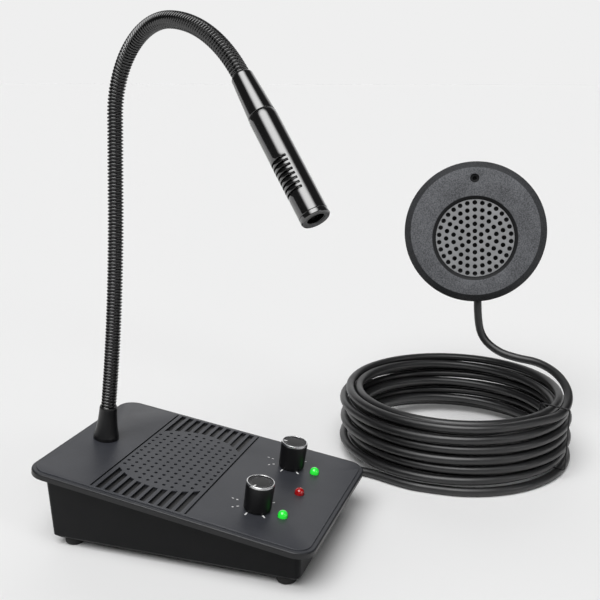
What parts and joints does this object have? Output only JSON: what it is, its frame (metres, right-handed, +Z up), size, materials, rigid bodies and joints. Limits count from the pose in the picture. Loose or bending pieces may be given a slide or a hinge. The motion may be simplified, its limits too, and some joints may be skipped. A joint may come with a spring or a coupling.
{
  "type": "teller window intercom",
  "caption": "Two-way counter intercom: a wedge-shaped console with loudspeaker, volume knobs and gooseneck microphone, wired by a coiled cable to a round speaker unit for the window.",
  "frame": {"origin": "on the table under the middle of the console", "axes": "+Z up, +Y to the console's rear where the gooseneck stands, +X to the right hand of the person at the console"},
  "size_m": [0.2931, 0.3093, 0.2647],
  "materials": {
    "case_plastic": "fine leather grain, charcoal",
    "boot_plastic": "smooth satin black",
    "knob_plastic": "smooth black with a turned top",
    "rim_metal": "bright turned ring",
    "hose_steel": "black lacquered steel hose round a lead",
    "mic_plastic": "gloss black",
    "mesh_metal": "fine dark mesh",
    "capsule_metal": "plain can",
    "rubber": "matte black",
    "screw_steel": "zinc plated",
    "pressed_steel": "pressed sheet",
    "magnet_ferrite": "sintered ferrite, dark grey",
    "cone_paper": "black pulp",
    "circuit_board": "green laminate with solder mask",
    "component_plastic": "moulded",
    "green_lens": "lit green lens",
    "red_lens": "dark red lens, not lit",
    "socket_plastic": "moulded black",
    "switch_plastic": "red rocker",
    "unit_plastic": "fine grained grey black",
    "grille_metal": "satin perforated sheet",
    "pad_foam": "closed cell foam with adhesive",
    "cable_jacket": "satin black jacket",
    "plug_plastic": "moulded black",
    "tie_wire": "coated wire"
  },
  "bodies": {
    "console": {"top_cover": "case_plastic", "bottom_case": "case_plastic", "rubber_feet": "rubber", "case_screws": "screw_steel", "small_screws": "screw_steel", "console_speaker_basket": "pressed_steel", "console_speaker_magnet": "magnet_ferrite", "console_speaker_cone": "cone_paper", "main_board": "circuit_board", "board_components": "component_plastic", "control_board": "circuit_board", "left_pot_body": "component_plastic", "right_pot_body": "component_plastic", "pot_nuts": "screw_steel", "green_leds": "green_lens", "red_led": "red_lens", "record_jack": "socket_plastic", "power_socket": "socket_plastic", "window_line_socket": "socket_plastic", "switch_housing": "socket_plastic", "neck_boot": "boot_plastic", "neck_ferrule": "screw_steel", "neck_nut": "screw_steel", "neck_flex_base": "hose_steel", "window_housing": "unit_plastic", "window_bezel": "unit_plastic", "window_grille": "grille_metal", "window_speaker_basket": "pressed_steel", "window_speaker_magnet": "magnet_ferrite", "window_speaker_cone": "cone_paper", "window_mic_capsule": "capsule_metal", "window_board": "circuit_board", "window_screws": "screw_steel", "adhesive_pad": "pad_foam", "window_grommet": "rubber", "window_cable": "cable_jacket", "cable_coil": "cable_jacket", "console_cable": "cable_jacket", "cable_tie": "tie_wire", "cable_plug": "plug_plastic"},
    "neck_lower": {"neck_lower": "hose_steel", "neck_flex_low": "hose_steel"},
    "neck_upper": {"neck_upper": "hose_steel", "neck_flex_middle": "hose_steel"},
    "neck_crook": {"neck_crook": "hose_steel", "neck_flex_top": "hose_steel"},
    "microphone": {"neck_nose": "hose_steel", "mic_adapter": "mic_plastic", "mic_barrel": "mic_plastic", "mic_end_ring": "mic_plastic", "mic_mesh": "mesh_metal", "mic_capsule": "capsule_metal", "mic_capsule_holder": "mic_plastic"},
    "left_control": {"left_knob": "knob_plastic", "left_knob_rim": "rim_metal", "left_pot_shaft": "screw_steel"},
    "right_control": {"right_knob": "knob_plastic", "right_knob_rim": "rim_metal", "right_pot_shaft": "screw_steel"},
    "power_rocker": {"switch_rocker": "switch_plastic"}
  },
  "joints": [
    {"name": "neck_side_bend", "type": "hinge", "parent": "console", "child": "neck_lower", "pos_m": [0, 0.05634, 0.065], "axis": [-0.4824, -0.8672, -0.1235], "range_deg": [-18, 18], "deforming": ["neck_flex_base"]},
    {"name": "neck_base_bend", "type": "hinge", "parent": "neck_lower", "child": "neck_upper", "pos_m": [0.00048, 0.05226, 0.09975], "axis": [0.876, -0.4776, -0.068], "range_deg": [-25, 25], "deforming": ["neck_flex_low"]},
    {"name": "neck_crook_bend", "type": "hinge", "parent": "neck_upper", "child": "neck_crook", "pos_m": [0.00706, 0.04801, 0.21443], "axis": [0.876, -0.4776, -0.068], "range_deg": [-30, 25], "deforming": ["neck_flex_middle"]},
    {"name": "neck_top_bend", "type": "hinge", "parent": "neck_crook", "child": "microphone", "pos_m": [-0.01148, 0.00742, 0.26063], "axis": [0.876, -0.4776, -0.068], "range_deg": [-25, 25], "deforming": ["neck_flex_top"]},
    {"name": "left_volume_turn", "type": "hinge", "parent": "console", "child": "left_control", "pos_m": [-0.0257, -0.03924, 0.02866], "axis": [0, -0.141, 0.99], "range_deg": [-225, 75]},
    {"name": "right_volume_turn", "type": "hinge", "parent": "console", "child": "right_control", "pos_m": [0.0257, -0.03924, 0.02866], "axis": [0, -0.141, 0.99], "range_deg": [-162, 138]},
    {"name": "power_rocker_tilt", "type": "hinge", "parent": "console", "child": "power_rocker", "pos_m": [0.033, 0.06778, 0.024], "axis": [1, 0, 0], "range_deg": [-22, 0]}
  ]
}
